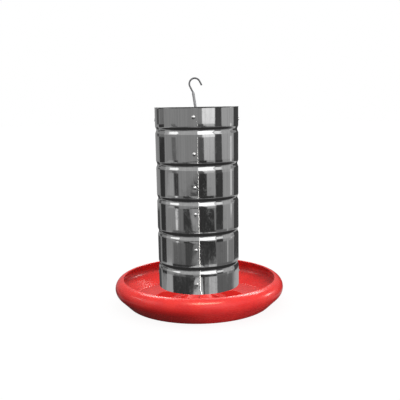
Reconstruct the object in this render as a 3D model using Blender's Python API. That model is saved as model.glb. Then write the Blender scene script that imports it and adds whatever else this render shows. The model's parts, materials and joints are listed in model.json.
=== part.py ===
"""Gravity poultry feeder: a grooved sheet-metal hopper that hangs on a hooked rod over a round feed pan.

The origin is the middle of the pan's underside and +Z runs up the rod. The lapped seam and its rivets
face -Y, and the hook opens towards +X. All lengths are in metres.
"""

import math

import bmesh
import bpy
from mathutils import Matrix, Vector

MM = 0.001
GAP = 0.3 * MM  # left between pieces that touch

# Feed pan
PAN_RADIUS = 200 * MM
PAN_WALL = 2.5 * MM
LIP_RADIUS = 22.5 * MM  # the outer face of the bulging lip, in section
LIP_CENTRE_Z = 39 * MM
LIP_END_ANGLE = 81  # degrees, just before the crest
LIP_FOOT_ANGLE = -45  # degrees, where the lip runs into the straight lower wall
LIP_STEPS = 14
PAN_SEGMENTS = 48
BASE_FILLET = 6 * MM
CONE_RADIUS = 78 * MM
HUB_RADIUS = 15 * MM
HUB_TOP_Z = 36 * MM
HUB_THICKNESS = 4.5 * MM
FIN_COUNT = 8
FIN_THICKNESS = 2 * MM
FIN_TOP_Z = 24 * MM
FIN_SHOULDER_RADIUS = 86 * MM
FIN_END_RADIUS = 125 * MM
FIN_END_HEIGHT = 1.5 * MM  # above the floor, at the fin's outer end

# Hopper tube
TUBE_RADIUS = 95.5 * MM
TUBE_HEIGHT = 416 * MM
TUBE_FOOT_Z = 43 * MM
SHEET = 0.5 * MM
LAP_STEP = SHEET + 0.2 * MM  # how far the sheet spirals out in one turn, so that its end laps over its start
TUBE_SEGMENTS = 36  # in a full turn; the lap adds one more
LAP_EDGE_FOOT_X = 3 * MM  # the exposed edge of the sheet leans a little: right of the middle at the foot,
LAP_EDGE_RIM_X = 0.8 * MM  # and nearly on it at the rim
GROOVE_COUNT = 5
GROOVE_PITCH = 77.8 * MM
FIRST_GROOVE_HEIGHT = 54.5 * MM  # above the tube's foot
GROOVE_HALF_HEIGHT = 9 * MM
GROOVE_DEPTH = 2.4 * MM

# Rivets
SEAM_RIVET_HEIGHTS = [23.5 * MM, 102.5 * MM, 183.5 * MM, 242.5 * MM, 315.5 * MM, 394.5 * MM]  # above the foot
RIVET_FROM_EDGE = 7.9 * MM
RIVET_HEAD_RADIUS = 4.2 * MM
RIVET_HEAD_HEIGHT = 2.4 * MM
BAR_RIVET_HEAD_HEIGHT = 0.8 * MM  # the crossbars' rivets lie nearly flush with the sheet
RIVET_SHANK_RADIUS = 1.7 * MM
RIVET_TAIL_RADIUS = 2.8 * MM
RIVET_TAIL_END_RADIUS = 2.5 * MM
RIVET_TAIL_HEIGHT = 1.4 * MM
RIVET_SEGMENTS = 12
DOME_STEPS = 4
SEAM_GRIP_SLACK = 0.4 * MM  # the sheet curves away from under a head, so the tail starts this much further in
HOLE_SIDES = 8
CUTTER_REACH = 6 * MM  # how far a cutter runs past the wall that it cuts, each way

# Crossbars
BAR_WIDTH = 20 * MM
BAR_THICKNESS = 2 * MM
BAR_TAB_HEIGHT = 20 * MM
BAR_TAB_X = 92.6 * MM  # the outer face of an end tab
BAR_BEND = 3 * MM  # outer radius of the bends
BAR_BEND_STEPS = 3
BAR_RIVET_HEIGHT = 12 * MM  # above the bar's underside, in the middle of the tab's flat
BAR_HOLE_SIDES = 16
TOP_BAR_Z = TUBE_FOOT_Z + 376 * MM  # underside of the flat part
LOWER_BAR_Z = TUBE_FOOT_Z + 18.5 * MM
TOP_BAR_HOLE = 5 * MM
LOWER_BAR_HOLE = 4 * MM

# Hanger rod
ROD_RADIUS = 3 * MM
HOOK_WIRE_RADIUS = 2 * MM
ROD_FOOT_Z = 19 * MM
ROD_SIDES = 12
RIM_Z = TUBE_FOOT_Z + TUBE_HEIGHT
LEAN_START_Z = RIM_Z - 22 * MM  # above this the shank leans towards -X
LEAN_BEND = 6 * MM  # the straight part ends this far below it
SHANK_TOP = Vector((-7.2 * MM, 0, RIM_Z + 33.5 * MM))
HOOK_CENTRE = Vector((-3 * MM, 0, RIM_Z + 51.2 * MM))
HOOK_RADIUS = 12.3 * MM  # to the middle of the wire
HOOK_START_ANGLE = 207
HOOK_END_ANGLE = 27
HOOK_TIP_LENGTH = 10.5 * MM
HOOK_STEPS = 12
PIN_HOLE_RADIUS = 1.6 * MM
PIN_HOLE_COUNT = 4
PIN_HOLE_PITCH = 15 * MM

# Pin and washer that carry the hopper
PIN_RADIUS = 1.25 * MM
PIN_TIP_Y = 8 * MM
PIN_LEG_END_Y = -14 * MM
PIN_EYE_RADIUS = 6.5 * MM
PIN_EYE_OFFSET = 2 * MM  # the eye's middle lies this much further out than the leg's end
PIN_EYE_SWEEP = 300  # degrees
PIN_EYE_STEPS = 14
PIN_SIDES = 8
WASHER_THICKNESS = 1.5 * MM
SUPPORT_WASHER_RADIUS = 11 * MM
SUPPORT_WASHER_HOLE = 4.5 * MM
WASHER_SIDES = 24
SUPPORT_WASHER_Z = TOP_BAR_Z - GAP - WASHER_THICKNESS
PIN_Z = SUPPORT_WASHER_Z - GAP - PIN_RADIUS

# Nuts and washers at the rod's foot
NUT_ACROSS_FLATS = 10 * MM
NUT_HEIGHT = 5 * MM
NUT_DIRECTIONS = 24  # a multiple of six, so that the corners are among them
NUT_HOLE = ROD_RADIUS + GAP
PAN_WASHER_RADIUS = 12 * MM
HUB_HOLE = ROD_RADIUS + 0.5 * MM

COLOURS = {
    "red_plastic": ((0.62, 0.02, 0.015), 0.25, 0.0),
    "galvanised_sheet": ((0.55, 0.55, 0.55), 0.22, 1.0),
    "rivet_steel": ((0.66, 0.66, 0.66), 0.3, 1.0),
    "bar_steel": ((0.45, 0.46, 0.47), 0.4, 1.0),
    "rod_steel": ((0.5, 0.5, 0.51), 0.35, 1.0),
    "zinc_fastener": ((0.6, 0.6, 0.62), 0.35, 1.0),
}


def clear_scene():
    for obj in list(bpy.data.objects):
        bpy.data.objects.remove(obj, do_unlink=True)


def material(name, kind):
    colour, roughness, metallic = COLOURS[kind]
    made = bpy.data.materials.new(name)
    made.use_nodes = True
    shader = made.node_tree.nodes["Principled BSDF"]
    shader.inputs["Base Color"].default_value = (*colour, 1.0)
    shader.inputs["Roughness"].default_value = roughness
    shader.inputs["Metallic"].default_value = metallic
    return made


def empty(name, location=(0, 0, 0)):
    made = bpy.data.objects.new(name, None)
    made.location = location
    bpy.context.scene.collection.objects.link(made)
    return made


def add(name, bm, kind, parent, location=(0, 0, 0), sharp_above=35):
    """Finish a bmesh as a named object under its parent, whose own location is taken off."""
    bmesh.ops.recalc_face_normals(bm, faces=bm.faces)
    mesh = bpy.data.meshes.new(name)
    bm.to_mesh(mesh)
    bm.free()
    mesh.shade_smooth()
    mesh.set_sharp_from_angle(angle=math.radians(sharp_above))
    mesh.materials.append(material(name, kind))
    made = bpy.data.objects.new(name, mesh)
    bpy.context.scene.collection.objects.link(made)
    made.parent = parent
    made.location = Vector(location) - parent.location
    return made


def boolean(target, operation, bm, name):
    """Cut a bmesh from the target, or join it on. The shape is in the target's own space."""
    bmesh.ops.recalc_face_normals(bm, faces=bm.faces)
    mesh = bpy.data.meshes.new(name)
    bm.to_mesh(mesh)
    bm.free()
    tool = bpy.data.objects.new(name, mesh)
    bpy.context.scene.collection.objects.link(tool)
    tool.hide_render = True
    tool.display_type = "WIRE"
    tool.parent = target
    modifier = target.modifiers.new(name, "BOOLEAN")
    modifier.operation = operation
    modifier.object = tool
    modifier.solver = "EXACT"


def bridge(bm, first, second):
    """Quads between two closed rings of vertices, or triangles where one of them is a single vertex."""
    count = max(len(first), len(second))
    for i in range(count):
        j = (i + 1) % count
        if len(first) == 1:
            bm.faces.new((first[0], second[j], second[i]))
        elif len(second) == 1:
            bm.faces.new((first[i], first[j], second[0]))
        else:
            bm.faces.new((first[i], first[j], second[j], second[i]))


def turned(profile, segments, closed):
    """A solid turned about Z from (radius, height) points. An open profile starts and ends on the axis."""
    bm = bmesh.new()
    rings = []
    for radius, height in profile:
        if radius < 1e-9:
            rings.append([bm.verts.new((0, 0, height))])
            continue
        angles = [math.tau * i / segments for i in range(segments)]
        rings.append([bm.verts.new((radius * math.cos(a), radius * math.sin(a), height)) for a in angles])
    pairs = list(zip(rings, rings[1:]))
    if closed:
        pairs.append((rings[-1], rings[0]))
    for first, second in pairs:
        bridge(bm, first, second)
    return bm


def cylinder_between(bm, start, end, radius, segments=12):
    """Add a closed cylinder to a bmesh."""
    start, end = Vector(start), Vector(end)
    turn = (end - start).to_track_quat("Z", "Y").to_matrix().to_4x4()
    place = Matrix.Translation((start + end) / 2) @ turn
    depth = (end - start).length
    bmesh.ops.create_cone(
        bm, cap_ends=True, segments=segments, radius1=radius, radius2=radius, depth=depth, matrix=place
    )


def swept(path, radii, sides, flat_normal):
    """A round bar along a path that lies in one plane, with a flat cap at each end."""
    bm = bmesh.new()
    rings = []
    last = len(path) - 1
    for i, (point, radius) in enumerate(zip(path, radii)):
        along = (path[min(i + 1, last)] - path[max(i - 1, 0)]).normalized()
        across = along.cross(flat_normal)
        ring = []
        for k in range(sides):
            angle = math.tau * k / sides
            offset = across * math.cos(angle) + flat_normal * math.sin(angle)
            ring.append(bm.verts.new(point + offset * radius))
        rings.append(ring)
    for first, second in zip(rings, rings[1:]):
        bridge(bm, first, second)
    bm.faces.new(rings[0])
    bm.faces.new(rings[-1])
    return bm


def arc(centre, radius, start, end, steps):
    """(radius, height) points on an arc; angles are in degrees from the outward direction."""
    points = []
    for i in range(steps + 1):
        angle = math.radians(start + (end - start) * i / steps)
        points.append((centre[0] + radius * math.cos(angle), centre[1] + radius * math.sin(angle)))
    return points


def pan_profile():
    """The pan's closed section: one wall from the bulging lip down to the base, and a cone with a hub."""
    lip_centre = (PAN_RADIUS - LIP_RADIUS, LIP_CENTRE_Z)
    outer_lip = arc(lip_centre, LIP_RADIUS, LIP_END_ANGLE, LIP_FOOT_ANGLE, LIP_STEPS)
    inner_lip = arc(lip_centre, LIP_RADIUS - PAN_WALL, LIP_FOOT_ANGLE, LIP_END_ANGLE, LIP_STEPS)
    foot_r, foot_z = outer_lip[-1]
    base_corner = foot_r - foot_z  # the lower wall runs down at 45 degrees
    tangent = BASE_FILLET * math.tan(math.radians(22.5))
    outer_fillet = arc((base_corner - tangent, BASE_FILLET), BASE_FILLET, -45, -90, 2)
    inner_corner = base_corner - PAN_WALL * math.sqrt(2) + PAN_WALL
    inner_centre = (inner_corner - tangent, PAN_WALL + BASE_FILLET)
    inner_fillet = arc(inner_centre, BASE_FILLET, -90, -45, 2)
    hub_bottom = HUB_TOP_Z - HUB_THICKNESS
    underside = [(CONE_RADIUS - PAN_WALL, 0), (HUB_RADIUS, hub_bottom), (HUB_HOLE, hub_bottom)]
    topside = [(HUB_HOLE, HUB_TOP_Z), (HUB_RADIUS, HUB_TOP_Z), (CONE_RADIUS, PAN_WALL)]
    return outer_lip + outer_fillet + underside + topside + inner_fillet + inner_lip


def fin_outline():
    """One radial fin: its lower edge is buried in the middle of the cone's wall and of the floor."""
    middle = PAN_WALL / 2
    hub_middle_z = HUB_TOP_Z - HUB_THICKNESS / 2
    slope = (hub_middle_z - middle) / (CONE_RADIUS - PAN_WALL / 2 - HUB_RADIUS)
    top_start = CONE_RADIUS - PAN_WALL / 2 - (FIN_TOP_Z - middle) / slope
    return [
        (top_start, FIN_TOP_Z),
        (CONE_RADIUS - PAN_WALL / 2, middle),
        (FIN_END_RADIUS, middle),
        (FIN_END_RADIUS, PAN_WALL + FIN_END_HEIGHT),
        (FIN_SHOULDER_RADIUS, FIN_TOP_Z),
    ]


def fins():
    bm = bmesh.new()
    outline = fin_outline()
    for n in range(FIN_COUNT):
        turn = Matrix.Rotation(math.tau * n / FIN_COUNT, 3, "Z")
        sides = []
        for y in (-FIN_THICKNESS / 2, FIN_THICKNESS / 2):
            sides.append([bm.verts.new(turn @ Vector((r, y, z))) for r, z in outline])
        bm.faces.new(sides[0])
        bm.faces.new(reversed(sides[1]))
        bridge(bm, sides[0], sides[1])
    return bm


def build_pan(base):
    pan = add("feed_pan", turned(pan_profile(), PAN_SEGMENTS, closed=True), "red_plastic", base)
    boolean(pan, "UNION", fins(), "pan_fins")


def tube_rows():
    """(height, inset) down the sheet: flat bands, and grooves with a rounded section."""
    rows = [(0.0, 0.0)]
    for n in range(GROOVE_COUNT):
        centre = FIRST_GROOVE_HEIGHT + n * GROOVE_PITCH
        for step in (-1, -0.5, 0, 0.5, 1):
            inset = GROOVE_DEPTH * (1 + math.cos(math.pi * step)) / 2
            rows.append((centre + step * GROOVE_HALF_HEIGHT, inset))
    rows.append((TUBE_HEIGHT, 0.0))
    return rows


def seam_angle(height, from_edge=0.0):
    """Angle about Z of the sheet's exposed edge at a height above the foot, or of a point left of it."""
    x = LAP_EDGE_FOOT_X + (LAP_EDGE_RIM_X - LAP_EDGE_FOOT_X) * height / TUBE_HEIGHT - from_edge
    return -math.pi / 2 + math.asin(x / TUBE_RADIUS)


def direction(angle):
    """Unit vector in the horizontal plane."""
    return Vector((math.cos(angle), math.sin(angle), 0))


def sheet_radius(turn):
    """The sheet's outer radius after this many turns from its inner, hidden edge."""
    return TUBE_RADIUS + LAP_STEP * (turn - 1)


def tube_sheet():
    """The rolled sheet as one closed solid: outer and inner faces, rims, and its two lapped edges."""
    bm = bmesh.new()
    step = math.tau / TUBE_SEGMENTS
    rows = tube_rows()
    columns = []
    for i in range(TUBE_SEGMENTS + 2):
        radius = sheet_radius(i / TUBE_SEGMENTS)
        outside = []
        inside = []
        for z, inset in rows:
            outward = direction(seam_angle(z) + (i - 1) * step)
            up = Vector((0, 0, z))
            outside.append(bm.verts.new(outward * (radius - inset) + up))
            inside.append(bm.verts.new(outward * (radius - inset - SHEET) + up))
        columns.append(outside + inside[::-1])
    for first, second in zip(columns, columns[1:]):
        bridge(bm, first, second)
    count = len(rows)
    for loop in (columns[0], columns[-1]):
        for k in range(count - 1):
            bm.faces.new((loop[k], loop[k + 1], loop[-2 - k], loop[-1 - k]))
    return bm


def rivet_holes():
    """Holes through the sheet for every rivet, in the tube's own space."""
    bm = bmesh.new()
    radius = RIVET_SHANK_RADIUS + GAP
    reach = (TUBE_RADIUS - CUTTER_REACH, TUBE_RADIUS + CUTTER_REACH)
    for height in SEAM_RIVET_HEIGHTS:
        outward = direction(seam_angle(height, RIVET_FROM_EDGE))
        up = Vector((0, 0, height))
        cylinder_between(bm, outward * reach[0] + up, outward * reach[1] + up, radius, HOLE_SIDES)
    for bar_z in (TOP_BAR_Z, LOWER_BAR_Z):
        for side in (-1, 1):
            ends = [Vector((side * r, 0, bar_z + BAR_RIVET_HEIGHT - TUBE_FOOT_Z)) for r in reach]
            cylinder_between(bm, ends[0], ends[1], radius, HOLE_SIDES)
    return bm


def build_tube(hopper):
    foot = (0, 0, TUBE_FOOT_Z)
    tube = add("hopper_tube", tube_sheet(), "galvanised_sheet", hopper, foot, sharp_above=50)
    boolean(tube, "DIFFERENCE", rivet_holes(), "rivet_hole_cutter")


def rivet_solid(grip, head_height):
    """A domed rivet on the local Z axis: the head's flat sits at z = 0, the tail's flat at z = -grip."""
    dome = []
    for i in range(DOME_STEPS):
        angle = math.pi / 2 * (1 - i / DOME_STEPS)
        dome.append((RIVET_HEAD_RADIUS * math.cos(angle), head_height * math.sin(angle)))
    profile = dome + [
        (RIVET_HEAD_RADIUS, 0),
        (RIVET_SHANK_RADIUS, 0),
        (RIVET_SHANK_RADIUS, -grip),
        (RIVET_TAIL_RADIUS, -grip),
        (RIVET_TAIL_END_RADIUS, -grip - RIVET_TAIL_HEIGHT),
        (0, -grip - RIVET_TAIL_HEIGHT),
    ]
    return turned(profile, RIVET_SEGMENTS, closed=False)


def add_rivet(name, hopper, outward, z, grip, head_height):
    seat = outward * (TUBE_RADIUS + GAP) + Vector((0, 0, z))
    rivet = add(name, rivet_solid(grip, head_height), "rivet_steel", hopper, seat)
    rivet.rotation_mode = "QUATERNION"
    rivet.rotation_quaternion = outward.to_track_quat("Z", "Y")


def build_seam_rivets(hopper):
    grip = LAP_STEP + SHEET + 2 * GAP + SEAM_GRIP_SLACK
    for number, height in enumerate(SEAM_RIVET_HEIGHTS, start=1):
        outward = direction(seam_angle(height, RIVET_FROM_EDGE))
        z = TUBE_FOOT_Z + height
        add_rivet(f"seam_rivet_{number}", hopper, outward, z, grip, RIVET_HEAD_HEIGHT)


def build_crossbar(name, hopper, z, hole_radius):
    """A flat strip along X whose ends turn up into tabs against the tube's wall."""
    outer = [(BAR_TAB_X, BAR_TAB_HEIGHT)]
    outer += arc((BAR_TAB_X - BAR_BEND, BAR_BEND), BAR_BEND, 0, -90, BAR_BEND_STEPS)
    inner_bend = BAR_BEND - BAR_THICKNESS
    inner = arc((BAR_TAB_X - BAR_BEND, BAR_BEND), inner_bend, -90, 0, BAR_BEND_STEPS)
    inner += [(BAR_TAB_X - BAR_THICKNESS, BAR_TAB_HEIGHT)]
    section = outer + [(-x, height) for x, height in reversed(outer)]
    section += [(-x, height) for x, height in reversed(inner)] + inner
    bm = bmesh.new()
    sides = []
    for y in (-BAR_WIDTH / 2, BAR_WIDTH / 2):
        sides.append([bm.verts.new((x, y, height)) for x, height in section])
    bm.faces.new(sides[0])
    bm.faces.new(reversed(sides[1]))
    bridge(bm, sides[0], sides[1])
    bar = add(name, bm, "bar_steel", hopper, (0, 0, z))
    holes = bmesh.new()
    cylinder_between(holes, (0, 0, -CUTTER_REACH), (0, 0, CUTTER_REACH), hole_radius, BAR_HOLE_SIDES)
    for side in (-1, 1):
        start = (side * (BAR_TAB_X - CUTTER_REACH), 0, BAR_RIVET_HEIGHT)
        end = (side * (BAR_TAB_X + CUTTER_REACH), 0, BAR_RIVET_HEIGHT)
        cylinder_between(holes, start, end, RIVET_SHANK_RADIUS + GAP, HOLE_SIDES)
    boolean(bar, "DIFFERENCE", holes, f"{name}_holes")


def build_bar_rivets(hopper):
    grip = TUBE_RADIUS + GAP - (BAR_TAB_X - BAR_THICKNESS) + GAP
    for bar_name, z in (("top", TOP_BAR_Z), ("lower", LOWER_BAR_Z)):
        for side_name, side in (("left", -1), ("right", 1)):
            outward = Vector((side, 0, 0))
            name = f"{bar_name}_bar_rivet_{side_name}"
            add_rivet(name, hopper, outward, z + BAR_RIVET_HEIGHT, grip, BAR_RIVET_HEAD_HEIGHT)


def rod_path():
    """The middle line of the rod: straight up the axis, a slight lean, and the open hook."""
    path = [Vector((0, 0, ROD_FOOT_Z)), Vector((0, 0, LEAN_START_Z - LEAN_BEND))]
    path += [Vector((0, 0, LEAN_START_Z)), SHANK_TOP]
    hook = []
    for i in range(HOOK_STEPS + 1):
        angle = math.radians(HOOK_START_ANGLE + (HOOK_END_ANGLE - HOOK_START_ANGLE) * i / HOOK_STEPS)
        hook.append(HOOK_CENTRE + HOOK_RADIUS * Vector((math.cos(angle), 0, math.sin(angle))))
    last = math.radians(HOOK_END_ANGLE)
    tip = hook[-1] + HOOK_TIP_LENGTH * Vector((math.sin(last), 0, -math.cos(last)))
    return path + hook + [tip]


def build_rod(base):
    path = rod_path()
    straight = [point for point in path if point.z <= SHANK_TOP.z]
    radii = [ROD_RADIUS] * len(straight)
    radii += [HOOK_WIRE_RADIUS] * (len(path) - len(straight))
    rod = add("hanger_rod", swept(path, radii, ROD_SIDES, Vector((0, 1, 0))), "rod_steel", base)
    holes = bmesh.new()
    for n in range(PIN_HOLE_COUNT):
        z = PIN_Z - n * PIN_HOLE_PITCH
        cylinder_between(holes, (0, -CUTTER_REACH, z), (0, CUTTER_REACH, z), PIN_HOLE_RADIUS, HOLE_SIDES)
    boolean(rod, "DIFFERENCE", holes, "pin_hole_cutter")


def build_pin(base):
    """A straight leg along Y with an eye to pull it by. The leg lies in the rod's uppermost cross hole."""
    path = [Vector((0, PIN_TIP_Y, 0)), Vector((0, PIN_LEG_END_Y, 0))]
    centre = Vector((PIN_EYE_RADIUS, PIN_LEG_END_Y - PIN_EYE_OFFSET, 0))
    for i in range(PIN_EYE_STEPS + 1):
        angle = math.pi + math.radians(PIN_EYE_SWEEP) * i / PIN_EYE_STEPS
        path.append(centre + PIN_EYE_RADIUS * Vector((math.cos(angle), math.sin(angle), 0)))
    location = (0, 0, PIN_Z)
    bm = swept(path, [PIN_RADIUS] * len(path), PIN_SIDES, Vector((0, 0, 1)))
    add("height_pin", bm, "zinc_fastener", base, location)


def washer(name, parent, z, outer, hole):
    profile = [(outer, 0), (hole, 0), (hole, WASHER_THICKNESS), (outer, WASHER_THICKNESS)]
    add(name, turned(profile, WASHER_SIDES, closed=True), "zinc_fastener", parent, (0, 0, z))


def nut(name, parent, z):
    """A plain hexagon nut, whose corners and hole's edge lie on the same directions."""
    bm = bmesh.new()
    rings = []
    for height in (0, NUT_HEIGHT):
        outer = []
        inner = []
        for i in range(NUT_DIRECTIONS):
            angle = math.tau * i / NUT_DIRECTIONS
            from_flat = (angle + math.pi / 6) % (math.pi / 3) - math.pi / 6
            flat = NUT_ACROSS_FLATS / 2 / math.cos(from_flat)
            outer.append(bm.verts.new((flat * math.cos(angle), flat * math.sin(angle), height)))
            inner.append(bm.verts.new((NUT_HOLE * math.cos(angle), NUT_HOLE * math.sin(angle), height)))
        rings.append((outer, inner))
    (low_outer, low_inner), (high_outer, high_inner) = rings
    for first, second in ((low_outer, high_outer), (high_outer, high_inner), (high_inner, low_inner)):
        bridge(bm, first, second)
    bridge(bm, low_inner, low_outer)
    add(name, bm, "zinc_fastener", parent, (0, 0, z))


def build_pan_fasteners(base):
    washer_z = HUB_TOP_Z + GAP
    washer("upper_pan_washer", base, washer_z, PAN_WASHER_RADIUS, NUT_HOLE)
    nut("upper_pan_nut", base, washer_z + WASHER_THICKNESS + GAP)
    washer_z = HUB_TOP_Z - HUB_THICKNESS - GAP - WASHER_THICKNESS
    washer("lower_pan_washer", base, washer_z, PAN_WASHER_RADIUS, NUT_HOLE)
    nut("lower_pan_nut", base, washer_z - GAP - NUT_HEIGHT)


def main():
    clear_scene()
    base = empty("feeder_base")
    hopper = empty("hopper", (0, 0, TUBE_FOOT_Z))
    build_pan(base)
    build_rod(base)
    build_pan_fasteners(base)
    build_pin(base)
    washer("support_washer", base, SUPPORT_WASHER_Z, SUPPORT_WASHER_RADIUS, SUPPORT_WASHER_HOLE)
    build_tube(hopper)
    build_seam_rivets(hopper)
    build_crossbar("top_crossbar", hopper, TOP_BAR_Z, TOP_BAR_HOLE)
    build_crossbar("lower_crossbar", hopper, LOWER_BAR_Z, LOWER_BAR_HOLE)
    build_bar_rivets(hopper)


main()
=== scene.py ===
"""Looks of the gravity poultry feeder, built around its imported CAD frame.

The pan, the hopper's sheet, the rod, the pin and the rivets are rebuilt here as fine meshes. The crossbars,
washers and nuts keep their CAD meshes. Lengths are in metres and +Z is up, as in the frame.
"""

import json
import math

import bmesh
import bpy
from mathutils import Matrix, Vector, noise

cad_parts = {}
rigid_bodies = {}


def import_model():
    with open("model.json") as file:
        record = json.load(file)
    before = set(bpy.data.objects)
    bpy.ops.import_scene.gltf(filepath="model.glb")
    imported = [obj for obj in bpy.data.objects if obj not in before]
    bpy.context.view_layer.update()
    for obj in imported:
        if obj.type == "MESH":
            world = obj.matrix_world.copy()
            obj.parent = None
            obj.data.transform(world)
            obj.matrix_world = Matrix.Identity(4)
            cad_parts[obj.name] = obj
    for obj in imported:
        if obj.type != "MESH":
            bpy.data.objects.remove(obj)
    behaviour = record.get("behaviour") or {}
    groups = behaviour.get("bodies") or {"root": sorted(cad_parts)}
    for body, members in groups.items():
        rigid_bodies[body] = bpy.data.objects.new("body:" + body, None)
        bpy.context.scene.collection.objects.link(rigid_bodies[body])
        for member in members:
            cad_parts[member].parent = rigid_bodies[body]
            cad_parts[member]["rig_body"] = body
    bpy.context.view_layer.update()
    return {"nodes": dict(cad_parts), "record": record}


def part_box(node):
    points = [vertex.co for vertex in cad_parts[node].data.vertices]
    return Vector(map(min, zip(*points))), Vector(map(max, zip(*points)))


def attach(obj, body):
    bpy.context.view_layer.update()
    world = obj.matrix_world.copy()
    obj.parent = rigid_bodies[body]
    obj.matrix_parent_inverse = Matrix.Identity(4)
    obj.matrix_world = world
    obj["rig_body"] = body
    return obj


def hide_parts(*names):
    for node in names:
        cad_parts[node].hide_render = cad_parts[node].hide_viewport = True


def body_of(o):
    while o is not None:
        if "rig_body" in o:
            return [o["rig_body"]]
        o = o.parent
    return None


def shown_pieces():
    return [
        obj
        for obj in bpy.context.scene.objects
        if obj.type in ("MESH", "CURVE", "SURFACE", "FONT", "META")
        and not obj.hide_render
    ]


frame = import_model()

MM = 0.001

TUBE_LOW, TUBE_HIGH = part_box("hopper_tube")
TUBE_FOOT = TUBE_LOW.z
TUBE_HEIGHT = TUBE_HIGH.z - TUBE_LOW.z

# Hopper sheet, as in the CAD
TUBE_RADIUS = 95.5 * MM
SHEET = 0.5 * MM
LAP_STEP = 0.7 * MM
LAP_DEGREES = 10
EDGE_FOOT_X = 3 * MM
EDGE_RIM_X = 0.8 * MM
GROOVE_COUNT = 5
GROOVE_PITCH = 77.8 * MM
FIRST_GROOVE_HEIGHT = 54.5 * MM
GROOVE_HALF_HEIGHT = 9 * MM
GROOVE_DEPTH = 2.4 * MM
RIVET_FROM_EDGE = 7.9 * MM

# Hopper sheet, the fine surface
SHEET_COLUMNS_PER_LAP = 7
BAND_ROW = 6 * MM
GROOVE_ROWS = 16
EDGE_FLARE = 3.5 * MM  # the exposed edge swings out at the very foot
EDGE_FLARE_HEIGHT = 7 * MM
WAVE_DEPTH = 0.18 * MM
DIMPLE_DEPTH = 0.2 * MM  # the sheet is pressed in round each rivet
DIMPLE_RADIUS = 5.5 * MM
HEM_HEIGHT = 1.8 * MM  # the rim's edge flares out a little
HEM_DEPTH = 0.6 * MM
BURR_WIDTH = 0.7 * MM  # the bright cut edge of the sheet is dressed over, more so towards the foot
BURR_FOOT_WIDTH = 2.6 * MM
BURR_HEIGHT = 0.4 * MM
BURR_STEPS = 8

# Rivets
SEAM_RIVET_COUNT = 6
RIVET_HEAD_RADIUS = 4.2 * MM
RIVET_SHANK_RADIUS = 1.7 * MM
RIVET_TAIL_RADIUS = 2.8 * MM
RIVET_TAIL_HEIGHT = 1.4 * MM
RIVET_SEGMENTS = 40
SEAM_RIVET_GRIP = 2.2 * MM
SEAM_RIVET_CROWN = 2.4 * MM
BAR_RIVET_GRIP = 5.5 * MM
BAR_RIVET_CROWN = 0.8 * MM
SEAT_GAP = 0.3 * MM

# Feed pan, as in the CAD
PAN_RADIUS = 200 * MM
PAN_WALL = 2.5 * MM
LIP_RADIUS = 22.5 * MM
LIP_CENTRE_Z = 39 * MM
LIP_END = 81
LIP_FOOT = -45
BASE_FILLET = 6 * MM
CONE_RADIUS = 78 * MM
HUB_RADIUS = 15 * MM
HUB_TOP_Z = 36 * MM
HUB_THICKNESS = 4.5 * MM
HUB_HOLE = 3.5 * MM
FIN_COUNT = 8
FIN_THICKNESS = 2 * MM
FIN_TOP_Z = 24 * MM
FIN_SHOULDER_RADIUS = 86 * MM
FIN_END_RADIUS = 125 * MM
FIN_END_HEIGHT = 1.5 * MM

# Feed pan, the fine surface
PAN_SEGMENTS = 216
LIP_STEPS = 44
FILLET_STEPS = 10
CONE_FILLET = 5 * MM
FIN_FLARE = 1.6 * MM
FIN_STATIONS = 34
PAN_WAVE = 0.12 * MM

# Hanger rod and height pin
ROD_RADIUS = 3 * MM
WIRE_RADIUS = 1.9 * MM
NECK_ABOVE_RIM = 32.5 * MM
HOOK_X = -3 * MM
HOOK_ABOVE_RIM = 51.2 * MM
HOOK_RADIUS = 12.3 * MM
HOOK_START = 205
HOOK_END = 27
HOOK_STEPS = 16
HOOK_TIP = 10.3 * MM
PIN_HOLE_COUNT = 4
PIN_HOLE_PITCH = 15 * MM
PIN_HOLE_RADIUS = 1.6 * MM
PIN_RADIUS = 1.25 * MM
PIN_TIP_Y = 8 * MM
PIN_LEG_END_Y = -14 * MM
PIN_EYE_RADIUS = 6.5 * MM
PIN_EYE_OFFSET = 2 * MM
PIN_EYE_SWEEP = 300
PIN_EYE_STEPS = 14


def clamp01(value):
    return max(0.0, min(1.0, value))


def smooth(value):
    """Smoothstep of a share from 0 to 1."""
    share = clamp01(value)
    return share * share * (3 - 2 * share)


# ---------------------------------------------------------------- camera

def build_camera():
    """The photograph's view: a little above the rim, looking down at the pan."""
    data = bpy.data.cameras.new("camera")
    data.sensor_width = 36
    data.lens = 56
    data.shift_x = 0.004
    data.shift_y = 0.0815
    data.clip_end = 50
    camera = bpy.data.objects.new("camera", data)
    camera.location = (0, -1.445, 0.4606)
    pitch = Matrix.Rotation(math.radians(90 - 11.49), 4, "X")
    roll = Matrix.Rotation(math.radians(-0.9), 4, "Z")
    camera.rotation_euler = (pitch @ roll).to_euler()
    bpy.context.scene.collection.objects.link(camera)
    bpy.context.scene.camera = camera


# ---------------------------------------------------------------- meshes

def finish_mesh(name, bm, material, body, stands_for, sharp_above=40):
    """A bmesh becomes a piece that rides on a CAD body and stands for CAD nodes."""
    bmesh.ops.recalc_face_normals(bm, faces=bm.faces)
    mesh = bpy.data.meshes.new(name)
    bm.to_mesh(mesh)
    bm.free()
    mesh.shade_smooth()
    mesh.set_sharp_from_angle(angle=math.radians(sharp_above))
    mesh.materials.append(material)
    piece = bpy.data.objects.new(name, mesh)
    bpy.context.scene.collection.objects.link(piece)
    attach(piece, body)
    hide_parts(*stands_for)
    return piece


def bridge(bm, first, second, closed=True):
    """Quads between two rings or rows of vertices, or triangles where one is a single vertex."""
    count = max(len(first), len(second))
    for i in range(count if closed else count - 1):
        j = (i + 1) % count
        if len(first) == 1:
            bm.faces.new((first[0], second[j], second[i]))
        elif len(second) == 1:
            bm.faces.new((first[i], first[j], second[0]))
        else:
            bm.faces.new((first[i], first[j], second[j], second[i]))


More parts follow.
